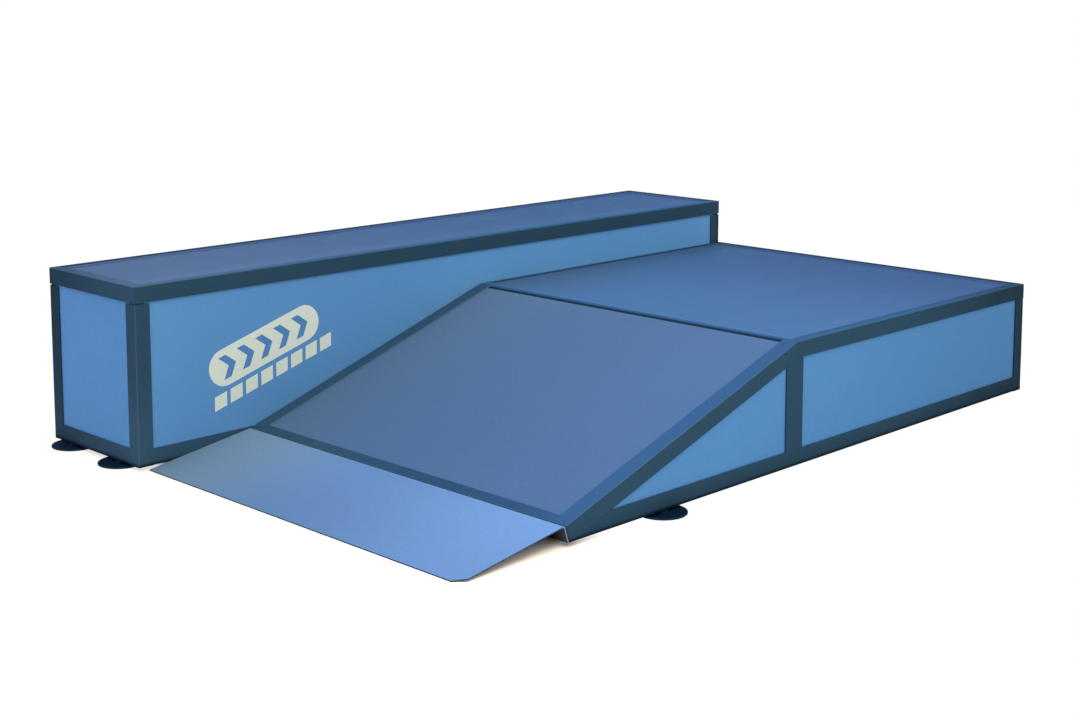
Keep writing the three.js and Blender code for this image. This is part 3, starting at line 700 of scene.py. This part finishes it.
@dataclass
class Finishes:
    """The finishes of the whole obstacle, made once each."""

    made: dict[str, bpy.types.Material] = field(default_factory=dict)
    front: float = -1.21
    back_reach: Span = (0.3, 1.1)

    @cached_property
    def recipes(self) -> dict[str, Recipe]:
        """All finishes, each by the name of its node or of a family of pieces."""
        return {**self.frames(), **self.rims(), **self.boards(), **self.others()}

    def platform_top(self) -> Fade:
        """Works out the platform's colour.

        Returns:
            The colour, which is painted duller close to the ledge, as shade beside it.
        """
        # painted shade: the platform is painted duller beside the ledge's wall
        wall = Fade((77, 108, 141), (80, 116, 156), ALONG, *self.back_reach)
        left = Fade((74, 110, 151), (77, 120, 173), ALONG, *self.back_reach)
        clear = Fade((73, 115, 166), (71, 113, 169), ALONG, *self.back_reach)
        return Fade(Fade(wall, left, ACROSS, -0.37, -0.26), clear, ACROSS, -0.34, 0.02)

    def frames(self) -> dict[str, PaintedSteel]:
        """Lists the powder coats of posts, bottom rails and feet.

        Returns:
            Each coat by its name.
        """
        # painted light: the ledge frame's side is painted lighter near the floor, where light bounces up
        lit_ledge_side = Fade((55, 84, 104), (48, 74, 92), UP, 0.06, 0.3)
        # top is the lit copy of the side colour; edge is the painted highlight on rolled edges and corners
        top = (52, 84, 110)
        edge = (80, 108, 126)
        return {
            "frame": PaintedSteel("frame", lit_ledge_side, top, edge, corner_highlight_share=0.45,
                                  front_light_tint=(0.97, 0.96, 1.05), left_shade=0.6, end_shade=0.72,
                                  low_shade=0.89),
            "ramp": PaintedSteel("ramp frame", (46, 75, 95), top, edge, back_shade=0.56,
                                 end_shade=0.86, low_shade=0.73),
            "foot_plate": PaintedSteel("foot", (22, 48, 66), (13, 36, 56), (24, 54, 76), front_light_tint=WHITE,
                                       left_shade=1.0, low_shade=1.0, foot_shade=1.0, turned_shade=1.0),
        }

    def rims(self) -> dict[str, PaintedSteel]:
        """Lists the powder coats of the ledge's cap angles and the ramp's rims.

        Returns:
            Each coat by its name.
        """
        side = (45, 73, 91)
        # edge and bank_edge: painted highlights on the rims' rolled edges
        edge = (68, 116, 139)
        bank_edge = (73, 114, 128)
        # dark: painted shade on the outer tops of the far and back rims; pale and bright: lit rim tops
        dark = (20, 46, 78)
        pale = (66, 99, 144)
        bright = (56, 95, 143)
        # painted light: the near cap's top is painted lighter towards the front
        inner = Fade((80, 108, 146), (60, 100, 151), ALONG, self.front, 0.0)
        near = Fade((64, 97, 131), (46, 89, 135), ALONG, self.front, -0.45)
        outer = Fade(near, (33, 88, 136), ALONG, -0.3, 0.3)
        cap = PaintedSteel("cap", (46, 74, 90), Fade(inner, outer, ACROSS, -0.444, -0.43),
                           (62, 98, 130), corner_highlight_share=0.0, front_light_tint=(1.14, 1.06, 1.3), back_shade=1.0)
        # painted shade and light: the far cap's outer top is painted dark, its step face painted light like
        # the deck
        cap_far = PaintedSteel("far cap", side, Fade(dark, pale, ACROSS, -0.827, -0.815), dark,
                               inner=Fade((94, 123, 165), (84, 119, 168), ALONG, -1.2, 0.0),
                               left_shade=1.0)
        # painted shade and light: the back rims' outer tops are painted dark, their step faces painted light
        # like the deck
        back = PaintedSteel("back rim", side, Fade((64, 97, 142), dark, ALONG, 1.182, 1.192),
                            dark, inner=(89, 127, 176), inner_axis=ALONG, inner_sign=-1.0)
        # painted shade: the bank rims' tops are painted darker towards the ledge
        bank_top = Fade((56, 86, 110), bright, ACROSS, 0.0, 0.75)
        front_left = Fade((53, 84, 105), (46, 78, 114), ACROSS, -0.35, 0.3)
        front_middle = Fade(front_left, (49, 83, 122), ACROSS, 0.35, 0.6)
        front_top = Fade(front_middle, bright, ACROSS, 0.6, 0.84)
        right_top = Fade((45, 86, 136), (46, 95, 139), ACROSS, 0.785, 0.80)
        # painted highlight: the knee rim's side is painted light in its top few millimetres
        knee_side = Fade(side, (62, 107, 155), UP, 0.3455, 0.3465)
        knee_left = Fade((52, 96, 145), self.platform_top(), ALONG, 0.034, 0.037)
        knee_top = Fade(knee_left, (46, 92, 139), ACROSS, 0.776, 0.779)
        return {
            "ledge_cap": cap,
            "ledge_cap_angle_front": replace(cap, name="front cap", top=(68, 99, 133)),
            "ledge_cap_angle_far": cap_far,
            "ledge_cap_angle_back": replace(back, name="back cap", left_shade=1.0,
                                            top=Fade(pale, dark, ALONG, 1.181, 1.191)),
            "bank_rim": PaintedSteel("bank rim", (48, 76, 97), bank_top, bank_edge),
            "bank_rim_front": PaintedSteel("front bank rim", side, front_top, bank_edge),
            "bank_rim_left": PaintedSteel("left bank rim", side, bank_top, edge,
                                          inner=(88, 122, 148)),
            "knee_rim": PaintedSteel("knee rim", knee_side, knee_top, (52, 98, 148),
                                     front_light_tint=WHITE),
            # painted shade: the rims are painted darker towards the back
            "rim": PaintedSteel("rim", (46, 75, 95), right_top, edge, back_shade=0.52),
            # painted shade: the rim beside the ledge's wall is painted dark
            "platform_rim_left": PaintedSteel("wall side rim", side, (44, 80, 112), dark,
                                              inner=(46, 86, 122)),
            "platform_rim_back": back,
        }

    def boards(self) -> dict[str, CoatedBoard]:
        """Lists the coats of the decks, side panels and sign.

        Returns:
            Each coat by its name.
        """
        # painted light: the ledge deck is painted lighter towards the front
        ledge = Fade((81, 107, 147), (62, 100, 148), ALONG, -1.2, 0.6)
        # painted shade: the bank deck is painted greyer towards the ledge
        bank_left = Fade((88, 117, 147), (80, 111, 152), ACROSS, -0.4, 0.1)
        bank = Fade(bank_left, (81, 113, 158), ACROSS, 0.2, 0.6)
        # painted light: the ledge's side board is painted lighter towards its far end
        lit_ledge_side = Fade((95, 148, 196), (101, 158, 206), ALONG, -0.5, 0.1)
        # painted shade: the side boards are painted darker towards the back
        side = CoatedBoard("side board", (86, 140, 191), roughness=0.5, fibre=SMOOTH_FIBRE,
                           drift_reach=(0.1, 1.25), light_drift_tone=0.84)
        sign = CoatedBoard("sign paint, cream", (224, 230, 212), roughness=0.5, fibre=FAINT_FIBRE)
        return {
            # painted light: the ledge deck is painted lighter on its side towards the ramp
            "ledge_deck_board": CoatedBoard("ledge deck board", ledge, drift_axis=ACROSS,
                                            drift_reach=(-0.6, -0.45), light_drift_tone=1.14),
            # painted light: the bank deck is painted lighter up the slope
            "bank_deck_board": CoatedBoard("bank deck board", bank, drift_reach=(-0.86, 0.0),
                                           light_drift_tone=1.07),
            # painted shade: the platform deck is painted darker towards the back and beside the ledge
            "platform_deck_board": CoatedBoard("platform deck board", self.platform_top(),
                                               drift_reach=(0.2, 1.3), light_drift_tone=0.7),
            "panel": side,
            # painted light: the ledge's front board is a lighter, lit copy of the side board
            "ledge_panel_front": replace(side, name="ledge front board", colour=(90, 141, 199),
                                         light_drift_tone=1.0),
            "ledge_panel_near": replace(side, name="ledge side board", colour=lit_ledge_side, light_drift_tone=1.0),
            "sign_light": sign,
            "sign_dark": replace(sign, name="sign paint, blue", colour=(86, 138, 186)),
        }

    def others(self) -> dict[str, Union[SheetPaint, BareSteel]]:
        """Lists the finishes of the entry sheet and of bare steel.

        Returns:
            Each finish by its name.
        """
        # painted light and shade: the entry sheet's top is painted greyer on the left, lighter and bluer on
        # the right
        left = Fade((119, 148, 173), (101, 138, 188), ACROSS, -0.38, 0.15)
        top = Fade(left, (113, 153, 212), ACROSS, 0.15, 0.75)
        # painted shade under the sheet: near black on the left, grey towards its open right end
        shaded_underside = Fade((2, 3, 4), (84, 92, 97), ACROSS, 0.738, 0.82)
        return {
            "entry_plate": SheetPaint("entry sheet paint", top, shaded_underside, cut_edge=(60, 86, 110),
                                      flange_edge_highlight=(150, 166, 176), toe=-0.866),
            "zinc": BareSteel("zinc plate", (160, 165, 170)),
        }

    def get(self, name: str) -> bpy.types.Material:
        """Returns a finish, and makes it on its first use.

        Args:
            name: The finish's name.

        Returns:
            Its material.
        """
        if name not in self.made:
            self.made[name] = self.recipes[name].make()
        return self.made[name]


@dataclass
class PackedSolids:
    """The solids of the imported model, which only get their finishes here."""

    finishes: Finishes
    families: Sequence[tuple[str, str]] = (
        ("foot_plate", "foot_plate"),
        ("foot_spindle", "zinc"),
        ("ledge_cap", "ledge_cap"),
        ("panel", "panel"),
        ("bank_rim", "bank_rim"),
        ("rim", "rim"),
        ("ramp", "ramp"),
        ("knee_post", "ramp"),
        ("rear_post", "ramp"),
    )

    def finish_of(self, node: str) -> str:
        """Returns the name of a node's finish: its own, or that of its family."""
        names = [node, *(name for part, name in self.families if part in node), "frame"]
        return next(name for name in names if name in self.finishes.recipes)

    def build(self) -> None:
        """Gives every solid its finish."""
        for node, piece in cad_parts.items():
            dress(piece, self.finishes.get(self.finish_of(node)))
        log.info("finished %d solids", len(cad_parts))


@dataclass
class LedgeSign:
    """Plain painted sign on the ledge's side: a leaning round-ended panel with arrows, and slanted dashes."""

    finishes: Finishes
    panel: str = "ledge_panel_near"
    film: float = 0.3 * MM
    middle: Span = (0.417, 0.2805)
    tilt: float = math.radians(17.0)
    length: float = 0.39
    height: float = 0.105
    corner: float = 0.052
    corner_steps: int = 8
    arrows: int = 5
    arrow_length: float = 0.05
    arrow_height: float = 0.066
    arrow_sweep: float = 0.026
    dashes: int = 8
    dash_length: float = 0.042
    dash_height: float = 0.038
    dash_gap: float = 0.0125
    dash_drop: float = 0.085
    dash_slant: float = 0.012

    def place(self) -> Matrix:
        """Finds the sign's place on the panel's face, leaning along the bank.

        Returns:
            The move from a shape drawn flat at the origin.
        """
        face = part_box(self.panel)[1].x
        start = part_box("ledge_cap_angle_near")[0].y
        middle = Vector((face, start + self.middle[0], self.middle[1]))
        upright = Matrix(((0, 0, 1, 0), (1, 0, 0, 0), (0, 1, 0, 0), (0, 0, 0, 1)))
        return Matrix.Translation(middle) @ upright @ Matrix.Rotation(self.tilt, 4, "Z")

    def flat(self, cells: tuple[int, int], size: Span, middle: Span = (0.0, 0.0)) -> None:
        """Adds a flat grid, as a start for one shape of the sign.

        Args:
            cells: Number of cells along and up.
            size: Length and height.
            middle: Place of its middle.
        """
        Bench.clear()
        bpy.ops.mesh.primitive_grid_add(x_subdivisions=cells[0], y_subdivisions=cells[1], size=1.0)
        Bench.edit()
        bpy.ops.mesh.select_all(action="SELECT")
        bpy.ops.transform.resize(value=(*size, 1.0), center_override=(0, 0, 0))
        bpy.ops.transform.translate(value=(*middle, 0.0))

    def finish(self, name: str, paint: str) -> None:
        """Thickens the shape to a film, carries it to the panel and gives it its paint.

        Args:
            name: The piece's name.
            paint: Its finish.
        """
        bpy.ops.mesh.select_all(action="SELECT")
        Bench.extrude(self.film)
        bpy.ops.mesh.select_all(action="SELECT")
        bpy.ops.mesh.normals_make_consistent(inside=False)
        piece = Bench.done(name)
        piece.data.transform(self.place())
        dress(piece, self.finishes.get(paint))
        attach(piece, FRAME_BODY)

    def band(self) -> None:
        """Builds the round-ended panel."""
        self.flat((2, 1), (self.length, self.height))
        limit = self.length / 2 - MM
        Bench.pick(Pick.POINT, lambda point: abs(point.co.x) > limit)
        bpy.ops.mesh.bevel(affect="VERTICES", offset=self.corner, segments=self.corner_steps)
        self.finish("ledge_sign_band", "sign_light")

    def arrow(self, index: int) -> None:
        """Builds one arrow on the band, whose two cells bend into a chevron.

        Args:
            index: Its place in the row, from 0.
        """
        middle = self.length / (self.arrows + 1) * (index + 1) - self.length / 2
        self.flat((1, 2), (self.arrow_length / 2, self.arrow_height))
        Bench.pick(Pick.POINT, lambda point: abs(point.co.y) < MM)
        bpy.ops.transform.translate(value=(self.arrow_sweep, 0, 0))
        bpy.ops.mesh.select_all(action="SELECT")
        bpy.ops.transform.translate(value=(middle - self.arrow_sweep / 2, 0, self.film))
        self.finish(f"ledge_sign_arrow_{index + 1}", "sign_dark")

    def dash(self, index: int) -> None:
        """Builds one slanted dash under the band.

        Args:
            index: Its place in the row, from 0.
        """
        middle = (self.dash_length + self.dash_gap) * (index - (self.dashes - 1) / 2)
        self.flat((2, 1), (self.dash_length, self.dash_height), (middle, -self.dash_drop))
        Bench.pick(Pick.POINT, lambda point: point.co.y > -self.dash_drop)
        bpy.ops.transform.translate(value=(self.dash_slant, 0, 0))
        self.finish(f"ledge_sign_dash_{index + 1}", "sign_light")

    def build(self) -> None:
        """Builds the sign."""
        self.band()
        for index in range(self.arrows):
            self.arrow(index)
        for index in range(self.dashes):
            self.dash(index)
        log.info("painted the sign: band, %d arrows, %d dashes", self.arrows, self.dashes)


@dataclass
class ThreadedSpindle:
    """Levelling spindle: a threaded bar with a collar below and a hexagon socket in its top."""

    finishes: Finishes
    radius: float = 5.0 * MM
    pitch: float = 1.5 * MM
    thread_depth: float = 0.8 * MM
    rings_per_turn: int = 4
    collar_radius: float = 8.0 * MM
    collar_low: float = 3.3 * MM
    collar_high: float = 7.3 * MM
    top: float = 85.0 * MM
    plain_neck: float = 5.0 * MM
    top_rim: float = 0.6 * MM
    socket_radius: float = 3.0 * MM
    socket_depth: float = 6.0 * MM
    sides: int = 18

    def thread(self, at: Vector) -> float:
        """Works out how far a point of the bar moves in, so that its rings follow the thread.

        Args:
            at: The point's place.

        Returns:
            The factor on its distance from the axis.
        """
        if not self.collar_high + self.plain_neck < at.z < self.top - self.pitch:
            return 1.0
        phase = (at.z / self.pitch - math.atan2(at.y, at.x) / math.tau) % 1.0
        dip = self.thread_depth * (1 - abs(2 * phase - 1))
        return (self.radius - dip) / self.radius

    def socket(self) -> None:
        """Sinks the hexagon socket into the top."""
        Bench.pick_end(1, self.top - MM)
        bpy.ops.mesh.inset(thickness=self.top_rim)
        bpy.ops.mesh.inset(thickness=self.radius - self.top_rim - self.socket_radius)
        Bench.hexagon(self.socket_radius * math.cos(math.pi / HEXAGON))
        Bench.extrude(-self.socket_depth)

    def model(self) -> bpy.types.Object:
        """Models the spindle once, round the origin's axis.

        Returns:
            The spindle.
        """
        Bench.cylinder(self.radius, self.collar_high, self.top, self.sides)
        Bench.pick(Pick.EDGE, lambda edge: abs(edge.verts[0].co.z - edge.verts[1].co.z) > MM)
        cuts = int((self.top - self.collar_high) / self.pitch * self.rings_per_turn)
        bpy.ops.mesh.subdivide(number_cuts=cuts)
        bpy.ops.mesh.select_all(action="SELECT")
        Bench.squeeze(self.thread)
        self.socket()
        Bench.pick_end(-1, -self.collar_high - MM / 2)
        Bench.extrude(0)
        Bench.widen(self.collar_radius / self.radius)
        Bench.extrude(self.collar_low - self.collar_high)
        return Bench.done("spindle_model")

    def build(self) -> None:
        """Puts a spindle in the place of each plain one."""
        model = self.model()
        nodes = sorted(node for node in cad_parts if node.startswith("foot_spindle"))
        for node in nodes:
            low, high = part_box(node)
            middle = (low + high) / 2
            name = node.replace("foot_spindle", "threaded_spindle")
            twin = Bench.copy(model, name, Matrix.Translation((middle.x, middle.y, 0)))
            dress(twin, self.finishes.get("zinc"))
            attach(twin, node)
            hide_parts(node)
        bpy.data.objects.remove(model)
        log.info("threaded %d spindles", len(nodes))


@dataclass
class Hardware:
    """Small fasteners: bolts that hold the modules together, and screws in the entry sheet's flange."""

    finishes: Finishes
    bolt_radius: float = 5.0 * MM
    head_flat: float = 8.5 * MM
    head_height: float = 6.4 * MM
    pad_inset: float = 0.4 * MM
    pad_height: float = 0.3 * MM
    shank_room: float = 0.6 * MM
    bolt_edge: float = 0.5 * MM
    nut_edge: float = 0.4 * MM
    washer_radius: float = 10.5 * MM
    washer_height: float = 2.0 * MM
    bolt_length: float = 22.0 * MM
    rail_wall: float = 4.0 * MM
    bolt_shares: Sequence[float] = (0.08, 0.36, 0.64, 0.92)
    screw_radius: float = 7.0 * MM
    screw_height: float = 3.6 * MM
    screw_dome: float = 0.62
    screw_edge: float = 0.6 * MM
    screw_edge_steps: int = 3
    screw_socket_radius: float = 2.6 * MM
    screw_socket_share: float = 0.6
    screws: int = 5
    rim_leg: float = 45 * MM
    screw_place: float = 0.45
    flange_face: float = 3.3 * MM

    def bolt(self) -> bpy.types.Object:
        """Models one bolt, along +Z from the rail's face, with room for a washer under its head.

        Returns:
            The bolt.
        """
        reach = self.head_flat / math.cos(math.pi / HEXAGON)
        Bench.cylinder(reach, -self.head_height - self.washer_height, -self.washer_height, HEXAGON)
        Bench.pick_end(1)
        bpy.ops.mesh.inset(thickness=self.pad_inset)
        Bench.extrude(self.pad_height)
        Bench.pick_end(1, self.pad_height / 2 - self.washer_height)
        bpy.ops.mesh.inset(thickness=self.head_flat - self.bolt_radius - self.shank_room)
        Bench.extrude(self.bolt_length + self.washer_height)
        head = Bench.done("module_bolt_model")
        Bench.bevel(head, self.bolt_edge)
        return head

    def nut(self) -> bpy.types.Object:
        """Models the nut with its washer, along +Z from the washer's face.

        Returns:
            The nut.
        """
        reach = self.head_flat / math.cos(math.pi / HEXAGON)
        Bench.cylinder(self.washer_radius, 0.0, self.washer_height, ROUND)
        Bench.pick_end(1)
        bpy.ops.mesh.inset(thickness=self.washer_radius - reach)
        Bench.hexagon(self.head_flat)
        Bench.extrude(self.head_height)
        nut = Bench.done("module_nut_model")
        Bench.bevel(nut, self.nut_edge)
        return nut

    def screw(self) -> bpy.types.Object:
        """Models one button head with its socket, along +Z from the flange.

        Returns:
            The screw.
        """
        Bench.cylinder(self.screw_radius, 0.0, self.screw_height, ROUND)
        Bench.pick_end(1)
        Bench.widen(self.screw_dome)
        bpy.ops.mesh.inset(thickness=self.screw_radius * self.screw_dome - self.screw_socket_radius)
        Bench.extrude(-self.screw_socket_share * self.screw_height)
        screw = Bench.done("flange_screw_model")
        Bench.bevel(screw, self.screw_edge, self.screw_edge_steps)
        return screw

    def settle(self, model: bpy.types.Object, name: str, move: Matrix) -> None:
        """Copies a fastener to its place, dresses it and joins it to the frame's body.

        Args:
            model: The fastener's model.
            name: The copy's name.
            move: Where the copy goes.
        """
        piece = Bench.copy(model, name, move)
        dress(piece, self.finishes.get("zinc"))
        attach(piece, FRAME_BODY)

    def join_modules(self) -> None:
        """Bolts the ramp's left rail to the ledge's near rail."""
        low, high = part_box("ramp_rail_left")
        ledge_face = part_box("ledge_rail_near")[1].x - self.rail_wall
        ramp_face = low.x + self.rail_wall
        level = (low.z + high.z) / 2
        along_x = Matrix.Rotation(math.pi / 2, 4, "Y")
        bolt, nut = self.bolt(), self.nut()
        for index, share in enumerate(self.bolt_shares, start=1):
            place = low.y + share * (high.y - low.y)
            for model, name, face in ((bolt, "bolt", ledge_face), (nut, "nut", ramp_face)):
                move = Matrix.Translation((face, place, level)) @ along_x
                self.settle(model, f"module_{name}_{index}", move)
        for model in (bolt, nut):
            bpy.data.objects.remove(model)
        log.info("bolted the modules in %d places", len(self.bolt_shares))

    def hold_entry_sheet(self) -> None:
        """Screws the entry sheet's flange to the bank's front rim."""
        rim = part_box("bank_rim_front")[0]
        low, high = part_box("entry_plate")
        toe = Vector((0, high.y, rim.z))
        lean = math.asin((toe.y - rim.y) / self.rim_leg)
        outward = Vector((0, -math.cos(lean), -math.sin(lean)))
        down = Vector((0, math.sin(lean), -math.cos(lean)))
        front = toe - down * (self.rim_leg * self.screw_place) + outward * self.flange_face
        turn = outward.to_track_quat("Z", "Y").to_matrix().to_4x4()
        screw = self.screw()
        for index in range(self.screws):
            share = (index + 0.5) / self.screws
            place = Vector((low.x + share * (high.x - low.x), front.y, front.z))
            self.settle(screw, f"flange_screw_{index + 1}", Matrix.Translation(place) @ turn)
        bpy.data.objects.remove(screw)
        log.info("screwed the entry sheet on in %d places", self.screws)

    def build(self) -> None:
        """Builds all fasteners."""
        self.join_modules()
        self.hold_entry_sheet()


@dataclass
class Studio:
    """Pale floor, soft light and the camera at the photograph's viewing angle.

    The floor's close colour is above 1, and only the camera, reflections and glass see it.
    """

    floor_size: float = 60.0
    floor_close: Colour = (1.65, 1.5, 1.28)
    floor_colour: Colour = (0.8, 0.79, 0.78)
    close_reach: Span = (0.03, 0.4)
    right_glow_strip: tuple[Span, Span] = ((0.75, 0.77), (-0.87, -0.7))
    front_glow_strip: tuple[Span, Span] = ((-0.42, -0.38), (-1.16, -1.1))
    front_glow_share: float = 0.7
    sky: Colour = WHITE
    sky_strength: float = 0.93
    key_place: Place = (3.1, -2.2, 4.0)
    key_aim: Place = (0.0, -0.1, 0.2)
    key_size: float = 2.5
    key_power: float = 70.0
    key_colour: Colour = (1.0, 0.99, 0.97)
    camera_place: Place = (3.3946, -3.5607, 1.2986)
    azimuth: float = math.radians(44.671)
    dip: float = math.radians(7.023)
    sensor: float = 36.0
    lens: float = 56.177
    shift: float = -0.16
    clip: Span = (0.05, 200.0)

    @staticmethod
    def seen(sheet: Sheet) -> Signal:
        """Tells what is seen from what only lights the object.

        Args:
            sheet: The sheet of the floor or of the world.

        Returns:
            1 where the camera looks, straight, in a reflection or through glass, and 0 elsewhere.
        """
        path = sheet.add("ShaderNodeLightPath").outputs
        rays = ("Is Camera Ray", "Is Glossy Ray", "Is Transmission Ray")
        camera, glossy, through = (Signal(sheet, path[ray]) for ray in rays)
        return camera.maths("MAXIMUM", glossy).maths("MAXIMUM", through)

    def world(self) -> None:
        """Makes the sky: white to the camera and in reflections, and soft pale light on the object."""
        world = bpy.data.worlds.new("studio")
        bpy.context.scene.world = world
        sheet = Sheet(world)
        light = sheet.node("ShaderNodeBackground", {"Color": self.sky, "Strength": self.sky_strength})
        white = sheet.node("ShaderNodeBackground", {"Color": WHITE})
        mix = sheet.node("ShaderNodeMixShader", {0: self.seen(sheet), 1: light, 2: white})
        sheet.close(mix, "ShaderNodeOutputWorld")

    def clear(self, sheet: Sheet) -> Signal:
        """Share of plain white on the floor, which hides the object's shadow where it glows.

        Args:
            sheet: The floor's sheet.

        Returns:
            The share: all of it past the close reach and along the right rail, some under the ledge's front;
                along the rail and under the front it is painted light that clears the shadow.
        """
        across, along, _ = sheet.split(sheet.place())
        middle, half = (CAD_BOX[0] + CAD_BOX[1]) / 2, (CAD_BOX[1] - CAD_BOX[0]) / 2
        away = (abs(across - middle.x) - half.x).maths("MAXIMUM", abs(along - middle.y) - half.y)
        # painted light: white glow under the right rail and the ledge's front hides the object's shadow there
        right = across.between(*self.right_glow_strip[0]) * along.between(*self.right_glow_strip[1])
        front = (across.between(*self.front_glow_strip[0], self.front_glow_share, 0.0)
                 * along.between(*self.front_glow_strip[1], 1.0, 0.0))
        return away.between(*self.close_reach).maths("MAXIMUM", right).maths("MAXIMUM", front)

    def floor(self) -> None:
        """Makes the floor, white to the camera save in the object's deeper shade."""
        Bench.clear()
        bpy.ops.mesh.primitive_plane_add(size=self.floor_size)
        floor = Bench.done("studio_floor")
        sheet = Sheet.named("studio floor")
        plain = sheet.node("ShaderNodeBsdfDiffuse", {"Color": self.floor_colour})
        shaded = sheet.node("ShaderNodeBsdfDiffuse", {"Color": self.floor_close})
        white = sheet.node("ShaderNodeEmission", {"Color": WHITE})
        bright = sheet.node("ShaderNodeMixShader", {0: self.clear(sheet), 1: shaded, 2: white})
        mix = sheet.node("ShaderNodeMixShader", {0: self.seen(sheet), 1: plain, 2: bright})
        dress(floor, sheet.close(mix))

    @staticmethod
    def hang(data: bpy.types.ID, place: Vector, ahead: Vector) -> bpy.types.Object:
        """Puts a lamp or a camera in its place.

        Args:
            data: The lamp or camera.
            place: Where it hangs.
            ahead: The direction that it looks in.

        Returns:
            Its object.
        """
        made = bpy.data.objects.new(data.name, data)
        bpy.context.scene.collection.objects.link(made)
        made.location = place
        made.rotation_mode = "QUATERNION"
        made.rotation_quaternion = ahead.to_track_quat("-Z", "Y")
        return made

    def key(self) -> None:
        """Adds the soft square lamp."""
        data = bpy.data.lights.new("key", "AREA")
        data.shape = "SQUARE"
        data.size = self.key_size
        data.energy = self.key_power
        data.color = self.key_colour
        place = Vector(self.key_place)
        self.hang(data, place, Vector(self.key_aim) - place)

    def camera(self) -> None:
        """Sets the camera to the photograph's view."""
        data = bpy.data.cameras.new("camera")
        data.sensor_width = self.sensor
        data.lens = self.lens
        data.shift_y = self.shift
        data.clip_start, data.clip_end = self.clip
        level = math.cos(self.dip)
        ahead = Vector((-math.sin(self.azimuth) * level, math.cos(self.azimuth) * level, -math.sin(self.dip)))
        bpy.context.scene.camera = self.hang(data, Vector(self.camera_place), ahead)

    def build(self) -> None:
        """Builds the studio."""
        bpy.context.scene.view_settings.view_transform = "Standard"
        self.camera()
        self.world()
        self.floor()
        self.key()
        log.info("set the studio")


def main() -> None:
    """Builds the studio, the finishes and the small pieces, in order."""
    logging.basicConfig(level=logging.INFO, format="%(message)s")
    finishes = Finishes()
    Studio().build()
    PackedSolids(finishes).build()
    LedgeSign(finishes).build()
    ThreadedSpindle(finishes).build()
    Hardware(finishes).build()


if __name__ == "__main__":
    main()
